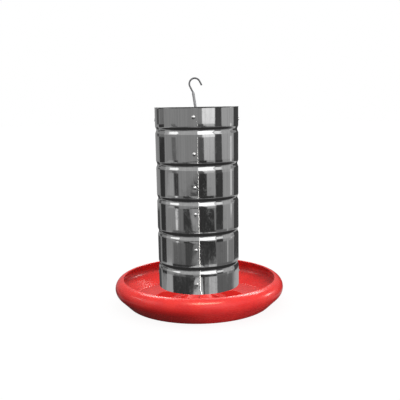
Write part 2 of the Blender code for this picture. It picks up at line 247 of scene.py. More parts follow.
def turned(profile, segments, closed):
    """A solid of revolution about Z from (radius, height) points."""
    bm = bmesh.new()
    rings = []
    for radius, height in profile:
        if radius < 1e-9:
            rings.append([bm.verts.new((0, 0, height))])
            continue
        ring = []
        for i in range(segments):
            angle = math.tau * i / segments
            ring.append(bm.verts.new((radius * math.cos(angle), radius * math.sin(angle), height)))
        rings.append(ring)
    pairs = list(zip(rings, rings[1:]))
    if closed:
        pairs.append((rings[-1], rings[0]))
    for first, second in pairs:
        bridge(bm, first, second)
    return bm


def arc(centre, radius, start, end, steps):
    """(radius, height) points on an arc; angles are in degrees from the outward direction."""
    points = []
    for i in range(steps + 1):
        angle = math.radians(start + (end - start) * i / steps)
        points.append((centre[0] + radius * math.cos(angle), centre[1] + radius * math.sin(angle)))
    return points


def swept(path, radii, sides, flat_normal):
    """A round bar along a path that lies in one plane, with a rounded cap at each end."""
    bm = bmesh.new()
    last = len(path) - 1
    rings = []

    def ring(point, along, radius):
        across = along.cross(flat_normal)
        made = []
        for k in range(sides):
            angle = math.tau * k / sides
            offset = across * math.cos(angle) + flat_normal * math.sin(angle)
            made.append(bm.verts.new(point + offset * radius))
        rings.append(made)

    first_along = (path[1] - path[0]).normalized()
    last_along = (path[last] - path[last - 1]).normalized()
    chamfer = 0.3
    ring(path[0], first_along, radii[0] * (1 - chamfer))
    ring(path[0] + first_along * radii[0] * chamfer, first_along, radii[0])
    for i in range(1, last):
        ring(path[i], (path[i + 1] - path[i - 1]).normalized(), radii[i])
    ring(path[last] - last_along * radii[last] * chamfer, last_along, radii[last])
    ring(path[last], last_along, radii[last] * (1 - chamfer))
    for first, second in zip(rings, rings[1:]):
        bridge(bm, first, second)
    bm.faces.new(rings[0])
    bm.faces.new(rings[-1])
    return bm


def apply_boolean(piece, name, bm, material, operation, solver, sharp_above):
    """Joins a bmesh to a finished piece, or cuts it out, and shades the result."""
    mesh = bpy.data.meshes.new(name)
    bm.to_mesh(mesh)
    bm.free()
    mesh.materials.append(material)
    tool = bpy.data.objects.new(name, mesh)
    bpy.context.scene.collection.objects.link(tool)
    change = piece.modifiers.new(name, "BOOLEAN")
    change.operation = operation
    change.object = tool
    change.solver = solver
    bpy.context.view_layer.objects.active = piece
    bpy.ops.object.modifier_apply(modifier=change.name)
    bpy.data.objects.remove(tool)
    piece.data.shade_smooth()
    piece.data.set_sharp_from_angle(angle=math.radians(sharp_above))


# ---------------------------------------------------------------- hopper

def seam_rivet_heights():
    """Heights of the seam rivets above the tube's foot, from the CAD."""
    heights = []
    for number in range(1, SEAM_RIVET_COUNT + 1):
        low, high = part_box(f"seam_rivet_{number}")
        heights.append((low.z + high.z) / 2 - TUBE_FOOT)
    return heights


def edge_x(height):
    """How far right of the middle the sheet's exposed edge is."""
    lean = EDGE_FOOT_X + (EDGE_RIM_X - EDGE_FOOT_X) * height / TUBE_HEIGHT
    return lean + EDGE_FLARE * math.exp(-((height / EDGE_FLARE_HEIGHT) ** 2))


def edge_angle(height):
    return -math.pi / 2 + math.asin(edge_x(height) / TUBE_RADIUS)


def groove_inset(height):
    """How far the grooves pull the sheet in at a height: round-bottomed, with soft shoulders."""
    number = round((height - FIRST_GROOVE_HEIGHT) / GROOVE_PITCH)
    number = max(0, min(GROOVE_COUNT - 1, number))
    away = abs(height - FIRST_GROOVE_HEIGHT - number * GROOVE_PITCH) / GROOVE_HALF_HEIGHT
    if away >= 1:
        return 0.0
    return GROOVE_DEPTH * (1 + math.cos(math.pi * away)) / 2


def sheet_rows():
    """Heights of the sheet's rows: coarse on the bands, fine in the grooves and at both rims."""
    rows = [0.0, 0.5 * MM, 1.5 * MM, 3 * MM]
    for n in range(GROOVE_COUNT):
        centre = FIRST_GROOVE_HEIGHT + n * GROOVE_PITCH
        start = centre - GROOVE_HALF_HEIGHT
        steps = max(1, round((start - rows[-1]) / BAND_ROW))
        first = rows[-1]
        rows += [first + (start - first) * (i + 1) / steps for i in range(steps)]
        rows += [start + 2 * GROOVE_HALF_HEIGHT * (i + 1) / GROOVE_ROWS for i in range(GROOVE_ROWS)]
    top = TUBE_HEIGHT - 3 * MM
    first = rows[-1]
    steps = round((top - first) / BAND_ROW)
    rows += [first + (top - first) * (i + 1) / steps for i in range(steps)]
    return rows + [TUBE_HEIGHT - HEM_HEIGHT, TUBE_HEIGHT - HEM_HEIGHT / 2, TUBE_HEIGHT]


def unevenness(x, y, height, rivets):
    """How far out of round the sheet is at a point: slow waves, and dimples round the rivets."""
    slow = noise.noise(Vector((x / 0.045, y / 0.045, height / 0.16)))
    quick = noise.noise(Vector((x / 0.014 + 7, y / 0.014, height / 0.09)))
    offset = WAVE_DEPTH * slow + WAVE_DEPTH * 0.16 * quick
    for rivet in rivets:
        near = (Vector((x, y, height)) - rivet).length_squared / DIMPLE_RADIUS**2
        if near < 9:
            offset -= DIMPLE_DEPTH * math.exp(-near)
    return offset


def rivet_seats():
    """Where the seam rivets go through the sheet's outer face, in tube heights."""
    seats = []
    for height in seam_rivet_heights():
        x = edge_x(height) - RIVET_FROM_EDGE
        seats.append(Vector((x, -math.sqrt(TUBE_RADIUS**2 - x**2), height)))
    return seats


def build_hopper_sheet(material):
    """The rolled and lapped sheet with its five grooves, slightly out of round."""
    bm = bmesh.new()
    rows = sheet_rows()
    seats = rivet_seats()
    lap = math.radians(LAP_DEGREES)
    count = round((math.tau + lap) / lap * SHEET_COLUMNS_PER_LAP)
    columns = []
    for i in range(count + 1):
        turn = lap * i / SHEET_COLUMNS_PER_LAP
        outside = []
        inside = []
        for row in rows:
            angle = edge_angle(row) - lap + turn
            out = Vector((math.cos(angle), math.sin(angle), 0))
            radius = TUBE_RADIUS + LAP_STEP * (turn / math.tau - 1) - groove_inset(row)
            radius += unevenness(out.x * TUBE_RADIUS, out.y * TUBE_RADIUS, row, seats)
            radius += HEM_DEPTH * smooth((row - TUBE_HEIGHT + HEM_HEIGHT) / HEM_HEIGHT)
            up = Vector((0, 0, TUBE_FOOT + row))
            outside.append(bm.verts.new(out * radius + up))
            inside.append(bm.verts.new(out * (radius - SHEET) + up))
        columns.append(outside + inside[::-1])
    for first, second in zip(columns, columns[1:]):
        bridge(bm, first, second)
    for loop in (columns[0], columns[-1]):
        for k in range(len(rows) - 1):
            bm.faces.new((loop[k], loop[k + 1], loop[-2 - k], loop[-1 - k]))
    return finish_mesh("hopper_sheet", bm, material, "hopper", ["hopper_tube"], 50)


def build_burr(material):
    """The dressed cut edge down the seam: a low rounded strip that sits on the sheet's exposed edge."""
    bm = bmesh.new()
    seats = rivet_seats()
    rings = []
    for row in sheet_rows():
        share = (1 - row / TUBE_HEIGHT) ** 2
        width = BURR_WIDTH + (BURR_FOOT_WIDTH - BURR_WIDTH) * share
        ring = []
        for k in range(BURR_STEPS + 1):
            across = math.cos(math.pi * k / BURR_STEPS)
            angle = edge_angle(row) + (across - 1) * width / 2 / TUBE_RADIUS + 0.1 * MM / TUBE_RADIUS
            out = Vector((math.cos(angle), math.sin(angle), 0))
            radius = TUBE_RADIUS + LAP_STEP * LAP_DEGREES / 360 - groove_inset(row)
            radius += unevenness(out.x * TUBE_RADIUS, out.y * TUBE_RADIUS, row, seats)
            radius += HEM_DEPTH * smooth((row - TUBE_HEIGHT + HEM_HEIGHT) / HEM_HEIGHT)
            radius += BURR_HEIGHT * math.sin(math.pi * k / BURR_STEPS) - 0.1 * MM
            ring.append(bm.verts.new(out * radius + Vector((0, 0, TUBE_FOOT + row))))
        rings.append(ring)
    for first, second in zip(rings, rings[1:]):
        bridge(bm, first, second)
    bm.faces.new(rings[0])
    bm.faces.new(rings[-1])
    return finish_mesh("seam_edge", bm, material, "hopper", ["hopper_tube"], 80)


def rivet_profile(grip, crown):
    """A domed rivet on the local Z axis, with a thin brim: the head's flat sits at z = 0."""
    head = RIVET_HEAD_RADIUS
    brim = 0.2 * crown
    shank = RIVET_SHANK_RADIUS
    tail = RIVET_TAIL_RADIUS
    tail_height = RIVET_TAIL_HEIGHT
    dome = []
    for i in range(13):
        angle = math.pi / 2 * (1 - i / 12)
        dome.append((head * 0.93 * math.cos(angle), brim + (crown - brim) * math.sin(angle)))
    dome[0] = (0.0, crown)
    brim_edge = arc((head - brim / 2, brim / 2), brim / 2, 90, -90, 6)
    tail_edge = [(tail, -grip), (tail * 1.02, -grip - tail_height * 0.5), (tail * 0.8, -grip - tail_height)]
    return dome + brim_edge + [(shank, 0), (shank, -grip)] + tail_edge + [(0.0, -grip - tail_height)]


def build_rivets(material):
    """Every rivet of the hopper, each where its CAD node is."""
    places = []
    for number in range(1, SEAM_RIVET_COUNT + 1):
        places.append((f"seam_rivet_{number}", SEAM_RIVET_GRIP, SEAM_RIVET_CROWN))
    for bar in ("top", "lower"):
        for side in ("left", "right"):
            places.append((f"{bar}_bar_rivet_{side}", BAR_RIVET_GRIP, BAR_RIVET_CROWN))
    rivets = []
    for cad_name, grip, crown in places:
        low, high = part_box(cad_name)
        middle = (low + high) / 2
        out = Vector((middle.x, middle.y, 0)).normalized()
        turn = out.to_track_quat("Z", "Y").to_matrix().to_4x4()
        seat = out * (TUBE_RADIUS + SEAT_GAP) + Vector((0, 0, middle.z))
        bm = turned(rivet_profile(grip, crown), RIVET_SEGMENTS, closed=False)
        bmesh.ops.transform(bm, matrix=Matrix.Translation(seat) @ turn, verts=bm.verts)
        name = f"{cad_name}_domed"
        rivets.append(finish_mesh(name, bm, material, "hopper", [cad_name], 45))
    return rivets


# ---------------------------------------------------------------- feed pan

def cone_height(radius):
    """Height of the pan's upper surface from the hub out to the flat floor."""
    slope = (HUB_TOP_Z - PAN_WALL) / (CONE_RADIUS - HUB_RADIUS)
    straight = PAN_WALL + slope * (CONE_RADIUS - radius)
    blend = CONE_FILLET
    if radius > CONE_RADIUS + blend:
        return PAN_WALL
    if radius < CONE_RADIUS - blend:
        return min(HUB_TOP_Z, straight)
    share = (CONE_RADIUS + blend - radius) / (2 * blend)
    return PAN_WALL + slope * blend * share * share


def pan_profile():
    """The pan's closed section, as in the CAD but with fine arcs and a round edge on the lip."""
    lip = (PAN_RADIUS - LIP_RADIUS, LIP_CENTRE_Z)
    edge = PAN_WALL / 2
    edge_angle_rad = math.radians(LIP_END)
    middle = LIP_RADIUS - edge
    edge_centre = (lip[0] + middle * math.cos(edge_angle_rad), lip[1] + middle * math.sin(edge_angle_rad))
    outer = arc(lip, LIP_RADIUS, LIP_END, LIP_FOOT, LIP_STEPS)
    inner = arc(lip, LIP_RADIUS - PAN_WALL, LIP_FOOT, LIP_END, LIP_STEPS)
    rounded = arc(edge_centre, edge, LIP_END + 180, LIP_END, 8)[1:-1]
    foot_r, foot_z = outer[-1]
    base_corner = foot_r - foot_z
    tangent = BASE_FILLET * math.tan(math.radians(22.5))
    outer_fillet = arc((base_corner - tangent, BASE_FILLET), BASE_FILLET, -45, -90, FILLET_STEPS)
    inner_corner = base_corner - PAN_WALL * math.sqrt(2) + PAN_WALL
    inner_centre = (inner_corner - tangent, PAN_WALL + BASE_FILLET)
    inner_fillet = arc(inner_centre, BASE_FILLET, -90, -45, FILLET_STEPS)
    hub_bottom = HUB_TOP_Z - HUB_THICKNESS
    underside = [(CONE_RADIUS - PAN_WALL, 0), (HUB_RADIUS, hub_bottom), (HUB_HOLE, hub_bottom)]
    topside = [(HUB_HOLE, HUB_TOP_Z), (HUB_RADIUS - 1 * MM, HUB_TOP_Z)]
    steps = 30
    start = HUB_RADIUS + 1 * MM
    end = CONE_RADIUS + CONE_FILLET
    for i in range(steps + 1):
        radius = start + (end - start) * i / steps
        topside.append((radius, cone_height(radius)))
    floor_steps = 8
    floor_end = inner_fillet[0][0]
    topside += [(end + (floor_end - end) * i / floor_steps, PAN_WALL) for i in range(1, floor_steps)]
    return outer + outer_fillet + underside + topside + inner_fillet + inner + rounded


def fin_top(radius):
    """Height of a fin's top edge: level at first, then falling to the floor."""
    slope = (FIN_TOP_Z - PAN_WALL - FIN_END_HEIGHT) / (FIN_END_RADIUS - FIN_SHOULDER_RADIUS)
    fall = max(0.0, radius - FIN_SHOULDER_RADIUS) * slope
    shoulder = 0.6 * MM * math.exp(-abs(radius - FIN_SHOULDER_RADIUS) / (4 * MM))
    return FIN_TOP_Z - fall - shoulder


def fin_section(radius):
    """One fin's cross-section: (sideways, height) from the left foot over the round top to the right."""
    ground = cone_height(radius)
    top = fin_top(radius)
    past = (radius - FIN_END_RADIUS) / (3 * MM)
    top -= (top - ground) * smooth(past)
    rise = max(top - ground, 0.05 * MM)
    half = FIN_THICKNESS / 2 * (1 - 0.5 * smooth(past))
    flare = min(FIN_FLARE, rise * 0.45)
    crown = min(half, rise * 0.45)
    right = [(half + flare + 0.2 * MM, ground - 0.25 * MM)]
    for i in range(7):
        angle = math.radians(-90 - 90 * i / 6)
        right.append((half + flare + flare * math.cos(angle), ground + flare + flare * math.sin(angle)))
    for i in range(7):
        angle = math.radians(90 * i / 6)
        right.append((half - crown + crown * math.cos(angle), top - crown + crown * math.sin(angle)))
    left = [(-side, z) for side, z in reversed(right)]
    return right, left


def build_fin_mesh():
    """The eight fins as closed shapes, which sink a little way into the pan's floor."""
    bm = bmesh.new()
    slope = (HUB_TOP_Z - PAN_WALL) / (CONE_RADIUS - HUB_RADIUS)
    start = CONE_RADIUS - (FIN_TOP_Z - PAN_WALL) / slope + 1 * MM
    end = FIN_END_RADIUS + 3 * MM
    for n in range(FIN_COUNT):
        turn = Matrix.Rotation(math.tau * n / FIN_COUNT, 3, "Z")
        rings = []
        for i in range(FIN_STATIONS + 1):
            radius = start + (end - start) * i / FIN_STATIONS
            right, left = fin_section(radius)
            ring = [bm.verts.new(turn @ Vector((radius, side, z))) for side, z in right + left]
            rings.append(ring)
        for first, second in zip(rings, rings[1:]):
            bridge(bm, first, second)
        bm.faces.new(rings[0])
        bm.faces.new(rings[-1])
    bmesh.ops.recalc_face_normals(bm, faces=bm.faces)
    return bm


def wobble_pan(bm):
    """Moulded plastic is never quite true: the lip and walls wander by a tenth of a millimetre."""
    for vertex in bm.verts:
        flat = Vector((vertex.co.x, vertex.co.y, 0))
        if flat.length < CONE_RADIUS:
            continue
        away = smooth((flat.length - CONE_RADIUS) / (60 * MM))
        slow = noise.noise(Vector((vertex.co.x / 0.05, vertex.co.y / 0.05, vertex.co.z / 0.03)))
        vertex.co += flat.normalized() * PAN_WAVE * slow * away


def build_pan(material):
    bm = turned(pan_profile(), PAN_SEGMENTS, closed=True)
    wobble_pan(bm)
    pan = finish_mesh("pan_moulding", bm, material, "feeder_base", ["feed_pan"], 50)
    apply_boolean(pan, "fins", build_fin_mesh(), material, "UNION", "MANIFOLD", 50)


# ---------------------------------------------------------------- rod and pin

def smooth_path(points, step):
    """A Catmull-Rom curve through the points, with a point about every step."""
    path = []
    for i in range(len(points) - 1):
        p0 = points[max(i - 1, 0)]
        p1, p2 = points[i], points[i + 1]
        p3 = points[min(i + 2, len(points) - 1)]
        count = max(1, round((p2 - p1).length / step))
        for k in range(count):
            t = k / count
            a = 2 * p1 + (p2 - p0) * t
            b = (2 * p0 - 5 * p1 + 4 * p2 - p3) * t**2
            c = (3 * p1 - p0 - 3 * p2 + p3) * t**3
            path.append((a + b + c) / 2)
    path.append(points[-1].copy())
    return path


def build_rod(material):
    """The hanger rod: threaded foot, straight shank with a slight lean, necked wire and open hook."""
    rim = TUBE_FOOT + TUBE_HEIGHT
    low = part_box("hanger_rod")[0]
    neck_z = rim + NECK_ABOVE_RIM
    centre = Vector((HOOK_X, 0, rim + HOOK_ABOVE_RIM))
    guide = [Vector((0, 0, low.z)), Vector((0, 0, low.z + 40 * MM)), Vector((0, 0, rim - 60 * MM))]
    guide += [Vector((0, 0, rim - 30 * MM)), Vector((-0.35 * MM, 0, rim - 16 * MM))]
    guide += [Vector((-3.9 * MM, 0, rim + 10 * MM)), Vector((-7.0 * MM, 0, rim + 31 * MM))]
    guide += [Vector((-9.6 * MM, 0, rim + 36.5 * MM))]
    for i in range(HOOK_STEPS + 1):
        angle = math.radians(HOOK_START + (HOOK_END - HOOK_START) * i / HOOK_STEPS)
        guide.append(centre + HOOK_RADIUS * Vector((math.cos(angle), 0, math.sin(angle))))
    last = math.radians(HOOK_END)
    guide.append(guide[-1] + HOOK_TIP * Vector((math.sin(last), 0, -math.cos(last))))
    path = smooth_path(guide, 1.5 * MM)
    radii = []
    for point in path:
        neck = smooth((point.z - neck_z + 2 * MM) / (3.5 * MM))
        radii.append(ROD_RADIUS + (WIRE_RADIUS - ROD_RADIUS) * neck)
    bm = swept(path, radii, 24, Vector((0, 1, 0)))
    rod = finish_mesh("hooked_rod", bm, material, "feeder_base", ["hanger_rod"], 45)
    drill_rod(rod, material)


def drill_rod(rod, material):
    """The cross holes for the height pin."""
    low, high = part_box("height_pin")
    pin_z = (low.z + high.z) / 2
    holes = bmesh.new()
    radius = PIN_HOLE_RADIUS
    depth = 4 * ROD_RADIUS
    for n in range(PIN_HOLE_COUNT):
        centre = Matrix.Translation((0, 0, pin_z - n * PIN_HOLE_PITCH))
        place = centre @ Matrix.Rotation(math.pi / 2, 4, "X")
        bmesh.ops.create_cone(
            holes, cap_ends=True, segments=24, radius1=radius, radius2=radius, depth=depth, matrix=place
        )
    apply_boolean(rod, "pin_holes", holes, material, "DIFFERENCE", "EXACT", 45)


def build_pin(material):
    """The height pin: a straight leg that runs smoothly into its eye."""
    low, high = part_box("height_pin")
    pin_z = (low.z + high.z) / 2
    guide = [Vector((0, PIN_TIP_Y, pin_z)), Vector((0, 0, pin_z))]
    guide.append(Vector((0, PIN_LEG_END_Y + 3 * MM, pin_z)))
    centre = Vector((PIN_EYE_RADIUS, PIN_LEG_END_Y - PIN_EYE_OFFSET, pin_z))
    for i in range(PIN_EYE_STEPS + 1):
        angle = math.pi + math.radians(PIN_EYE_SWEEP) * i / PIN_EYE_STEPS
        guide.append(centre + PIN_EYE_RADIUS * Vector((math.cos(angle), math.sin(angle), 0)))
    path = smooth_path(guide, 0.8 * MM)
    bm = swept(path, [PIN_RADIUS] * len(path), 16, Vector((0, 0, 1)))
    finish_mesh("pull_pin", bm, material, "height_pin", ["height_pin"], 45)


# ---------------------------------------------------------------- materials

def node(tree, kind, inputs=None, **settings):
    """A shader node with its settings, and its inputs linked or set."""
    made = tree.nodes.new(kind)
    for key, value in settings.items():
        setattr(made, key, value)
    for key, value in (inputs or {}).items():
        if isinstance(value, bpy.types.NodeSocket):
            tree.links.new(value, made.inputs[key])
        else:
            made.inputs[key].default_value = value
    return made


def new_material(name):
    material = bpy.data.materials.new(name)
    material.use_nodes = True
    tree = material.node_tree
    return material, tree, tree.nodes["Principled BSDF"]


def stretched_noise(tree, scale, detail=3.0, roughness=0.5, offset=0.0):
    """Noise on the object's own coordinates, with a scale for each axis."""
    place = node(tree, "ShaderNodeTexCoord").outputs["Object"]
    mapped = node(
        tree, "ShaderNodeMapping", {"Vector": place, "Scale": scale, "Location": (offset, offset, offset)}
    )
    made = node(
        tree,
        "ShaderNodeTexNoise",
        {"Vector": mapped.outputs["Vector"], "Scale": 1.0, "Detail": detail, "Roughness": roughness},
    )
    return made.outputs["Fac"]


def spread(tree, value, low, high, to_low, to_high):
    """A value between low and high is spread from to_low to to_high, with soft ends."""
    inputs = {"Value": value, "From Min": low, "From Max": high, "To Min": to_low, "To Max": to_high}
    return node(tree, "ShaderNodeMapRange", inputs, interpolation_type="SMOOTHSTEP").outputs["Result"]


def blend_colour(tree, factor, first, second):
    """From the first colour to the second by a factor. Each is an RGB triple or a colour output."""
    ends = [end if isinstance(end, bpy.types.NodeSocket) else (*end, 1) for end in (first, second)]
    inputs = {0: factor, 6: ends[0], 7: ends[1]}
    return node(tree, "ShaderNodeMix", inputs, data_type="RGBA").outputs[2]


def bump(tree, height, strength, distance, normal=None):
    inputs = {"Height": height, "Strength": strength, "Distance": distance}
    if normal is not None:
        inputs["Normal"] = normal
    return node(tree, "ShaderNodeBump", inputs).outputs["Normal"]


def galvanised_sheet():
    """Bright galvanised sheet: mirror-like, with vertical rolling streaks, faint spangle and scuffs."""
    material, tree, shader = new_material("galvanised_sheet")
    streak = stretched_noise(tree, (260, 260, 5), detail=4)
    broad = stretched_noise(tree, (38, 38, 4), detail=2, offset=3)
    scuff = stretched_noise(tree, (90, 90, 60), detail=5, roughness=0.7, offset=9)
    tone = blend_colour(tree, spread(tree, streak, 0.35, 0.65, 0, 1), (0.58, 0.58, 0.58), (0.65, 0.65, 0.65))
    tree.links.new(tone, shader.inputs["Base Color"])
    shader.inputs["Metallic"].default_value = 1.0
    gloss = spread(tree, scuff, 0.45, 0.75, 0.06, 0.16)
    tree.links.new(gloss, shader.inputs["Roughness"])
    waves = bump(tree, broad, 0.2, 0.4 * MM)
    lines = bump(tree, streak, 0.05, 0.05 * MM, waves)
    tree.links.new(lines, shader.inputs["Normal"])
    return material


def red_plastic():
    """Glossy moulded plastic: deep red, faintly mottled, with an orange-peel skin and light scuffs."""
    material, tree, shader = new_material("red_plastic")
    mottle = stretched_noise(tree, (35, 35, 35), detail=3)
    scuff = stretched_noise(tree, (55, 55, 160), detail=6, roughness=0.7, offset=5)
    peel = stretched_noise(tree, (420, 420, 420), detail=2, offset=2)
    mottled = spread(tree, mottle, 0.3, 0.7, 0, 1)
    tone = blend_colour(tree, mottled, (0.60, 0.020, 0.021), (0.66, 0.026, 0.023))
    tree.links.new(tone, shader.inputs["Base Color"])
    gloss = spread(tree, scuff, 0.48, 0.72, 0.27, 0.4)
    tree.links.new(gloss, shader.inputs["Roughness"])
    shader.inputs["Specular IOR Level"].default_value = 0.4
    shader.inputs["Coat Weight"].default_value = 0.15
    shader.inputs["Coat Roughness"].default_value = 0.18
    skin = bump(tree, peel, 0.03, 0.05 * MM)
    tree.links.new(skin, shader.inputs["Normal"])
    return material


def plain_metal(name, dark, light, rough_low, rough_high, grain):
    """A metal with a grain: lines, mottling and uneven gloss."""
    material, tree, shader = new_material(name)
    lines = stretched_noise(tree, grain, detail=4)
    patches = stretched_noise(tree, (140, 140, 140), detail=4, offset=4)
    tone = blend_colour(tree, spread(tree, patches, 0.35, 0.65, 0, 1), dark, light)
    tree.links.new(tone, shader.inputs["Base Color"])
    shader.inputs["Metallic"].default_value = 1.0
    gloss = spread(tree, lines, 0.3, 0.7, rough_low, rough_high)
    tree.links.new(gloss, shader.inputs["Roughness"])
    tree.links.new(bump(tree, lines, 0.15, 0.1 * MM), shader.inputs["Normal"])
    return material


def hanger_steel(neck_z):
    """The rod's steel: pale on the shank, and darker where the thin wire of the hook starts."""
    material, tree, shader = new_material("rod_steel")
    place = node(tree, "ShaderNodeTexCoord").outputs["Object"]
    height = node(tree, "ShaderNodeSeparateXYZ", {0: place}).outputs["Z"]
    above = spread(tree, height, neck_z - 3 * MM, neck_z + 3 * MM, 0, 1)
    lines = stretched_noise(tree, (400, 400, 12), detail=4)
    pale = blend_colour(tree, lines, (0.58, 0.58, 0.59), (0.72, 0.72, 0.73))
    dark = blend_colour(tree, lines, (0.24, 0.24, 0.25), (0.34, 0.34, 0.35))
    tree.links.new(blend_colour(tree, above, pale, dark), shader.inputs["Base Color"])
    shader.inputs["Metallic"].default_value = 1.0
    tree.links.new(spread(tree, lines, 0.3, 0.7, 0.46, 0.6), shader.inputs["Roughness"])
    tree.links.new(bump(tree, lines, 0.03, 0.03 * MM), shader.inputs["Normal"])
    return material


# ---------------------------------------------------------------- carried-over CAD nodes

def dress_cad_nodes(bar, zinc):
    """The crossbars, washers and nuts keep their CAD meshes, with broken edges and their own metals."""
    materials = {"bar_steel": bar, "zinc_fastener": zinc}
    slots = {row["node"]: row["material_slot"] for row in frame["record"]["subparts"]}
    for name, piece in frame["nodes"].items():
        if piece.hide_render:
            continue
        piece.data.materials.clear()
        piece.data.materials.append(materials[slots[name]])
        weld = piece.modifiers.new("weld", "WELD")
        weld.merge_threshold = 0.00001
        edges = piece.modifiers.new("edges", "BEVEL")
        edges.width = 0.25 * MM
        edges.segments = 2
        edges.limit_method = "ANGLE"
        edges.angle_limit = math.radians(35)
        edges.harden_normals = False


# ---------------------------------------------------------------- studio

# What the bright metal mirrors: cards that stand round the studio, by compass direction and elevation in
# degrees (0 is the camera's side, + is right). Each has a left and a right side that can lean, a low and a
# high end, and a brightness. Later cards cover earlier ones.
CARDS = [
    # left and right at the top, left and right at the foot, low, high, brightness
    # overhead, mirrored by the grooves' lower flanks and the rivets
    (-105, 112, -105, 112, 8, 70, 0.52),
    (-88, -58, -88, -58, 18, 46, 1.5),
    (2, 50, 2, 50, 13, 47, 1.9),
    (54, 76, 54, 76, 18, 44, 1.1),
    # far left
    (-180, -138, -180, -138, -19.5, -9.2, 0.08),
    (-142, -126, -142, -126, -2.1, 9, 0.1),
    (-122, -100, -122, -100, -2.1, 9, 0.22),
    (-128, -100, -128, -104, -15, -2.1, 0.045),
    (-100, -82, -120, -80, -19.5, -14.1, 0.5),
    # left
    (-74, -60, -72, -58, -5.4, -2.1, 0.17),
    (-84, -70, -96, -70, -8.6, -5.4, 0.45),
    (-68, -54, -67, -54, -8.6, -5.4, 0.06),
    (-67, -57, -65, -59, -11.2, -9.1, 0.95),
    (-54, -42, -54, -42, -11.7, -8.6, 0.22),
    (-42, -27, -42, -13, -11.7, -8.6, 0.05),
    (-76, -38, -76, -38, -14.8, -11.7, 0.17),
    (-38, -6, -38, -6, -14.8, -11.7, 0.08),
    (-80, 16, -80, 16, -19.5, -14.8, 0.05),
    # left of the seam
    (-10, 3, -34, 3, -8.6, -6.7, 0.07),
    (-27, 3, -13, 3, -11.7, -8.6, 0.4),
    (-8, 3, -22, 3, -14.4, -12.5, 0.27),
    (-3, 8, -30, 17, -19.5, -14.8, 0.65),
    # right of the seam
    (3, 18, 3, 18, -5.4, -2.1, 0.11),
    (14, 51, 14, 51, -2.1, 9, 1.1),
    (18, 49, 18, 49, -5.4, -2.1, 0.62),
    (3, 26, 3, 26, -8.6, -5.4, 0.04),
    (26, 51, 26, 51, -8.6, -5.4, 0.45),
    (3, 51, 3, 51, -14.8, -8.6, 0.045),
    (46, 50, 46, 50, -11.7, -8.6, 0.3),
    (28, 52, 28, 52, -19.5, -14.8, 0.62),
    (51, 69, 51, 72, -5.4, 9, 0.08),
    (51, 74, 51, 74, -11.7, -5.4, 0.05),
    (49, 90, 49, 90, -14.8, -11.7, 0.2),
    (52, 112, 52, 112, -19.5, -14.8, 0.16),
    # right
    (70, 122, 72, 120, -5.4, 9, 0.48),
    (74, 112, 74, 112, -11.7, -5.4, 0.4),
    (104, 111, 104, 111, -9.8, -2.1, 0.85),
    (89, 95, 89, 95, -14.8, -11.7, 0.5),
    (95, 116, 95, 116, -14.8, -11.7, 0.27),
    # far right
    (123, 180, 121, 180, -14.8, 9, 0.07),
    (126, 168, 112, 168, -19.5, -14.1, 0.5),
]
SIDE_SOFTNESS = 1.5
END_SOFTNESS = 0.3


def card_side(tree, azimuth, elevation, at_top, at_foot, low, high, from_left):
    """1 on the inner side of a card's left or right side, and 0 outside it."""
    side = at_top
    if at_top != at_foot:
        ends = {"Value": elevation, "From Min": low, "From Max": high, "To Min": at_foot, "To Max": at_top}
        side = node(tree, "ShaderNodeMapRange", ends).outputs["Result"]
    order = {0: azimuth, 1: side} if from_left else {0: side, 1: azimuth}
    past = node(tree, "ShaderNodeMath", order, operation="SUBTRACT").outputs[0]
    return spread(tree, past, -SIDE_SOFTNESS, SIDE_SOFTNESS, 0, 1)


def mirrored_level(tree, azimuth, elevation, ground_level):
    """The mirrored studio's brightness in a direction."""
    level = ground_level
    for left_top, right_top, left_foot, right_foot, low, high, brightness in CARDS:
        masks = [
            card_side(tree, azimuth, elevation, left_top, left_foot, low, high, from_left=True),
            card_side(tree, azimuth, elevation, right_top, right_foot, low, high, from_left=False),
            spread(tree, elevation, low - END_SOFTNESS, low + END_SOFTNESS, 0, 1),
            spread(tree, elevation, high - END_SOFTNESS, high + END_SOFTNESS, 1, 0),
        ]
        mask = masks[0]
        for other in masks[1:]:
            mask = node(tree, "ShaderNodeMath", {0: mask, 1: other}, operation="MULTIPLY").outputs[0]
        level = node(tree, "ShaderNodeMix", {0: mask, 2: level, 3: brightness}).outputs[0]
    return level


def build_world():
    """White to the camera, plain soft light for diffuse surfaces, and the cards for glossy ones."""
    world = bpy.data.worlds.new("studio")
    bpy.context.scene.world = world
    world.use_nodes = True
    tree = world.node_tree
    background = tree.nodes["Background"]
    direction = node(tree, "ShaderNodeTexCoord").outputs["Generated"]
    axes = node(tree, "ShaderNodeSeparateXYZ", {0: direction}).outputs
    backward = node(tree, "ShaderNodeMath", {0: axes["Y"], 1: -1.0}, operation="MULTIPLY").outputs[0]
    turn = node(tree, "ShaderNodeMath", {0: axes["X"], 1: backward}, operation="ARCTAN2").outputs[0]
    rise = node(tree, "ShaderNodeMath", {0: axes["Z"]}, operation="ARCSINE").outputs[0]
    azimuth = node(tree, "ShaderNodeMath", {0: turn, 1: 180 / math.pi}, operation="MULTIPLY").outputs[0]
    elevation = node(tree, "ShaderNodeMath", {0: rise, 1: 180 / math.pi}, operation="MULTIPLY").outputs[0]
    far_level = spread(tree, elevation, -27, -18, 0.04, 0.32)
    glossy = mirrored_level(tree, azimuth, elevation, far_level)
    soft = spread(tree, elevation, -10, 80, 0.45, 1.0)
    path = node(tree, "ShaderNodeLightPath").outputs
    lit = node(tree, "ShaderNodeMix", {0: path["Is Glossy Ray"], 2: soft, 3: glossy}).outputs[0]
    seen = node(tree, "ShaderNodeMix", {0: path["Is Camera Ray"], 2: lit, 3: 1.0}).outputs[0]
    tree.links.new(seen, background.inputs["Color"])
    background.inputs["Strength"].default_value = 1.0
    world.cycles.sampling_method = "MANUAL"
    world.cycles.sample_map_resolution = 128


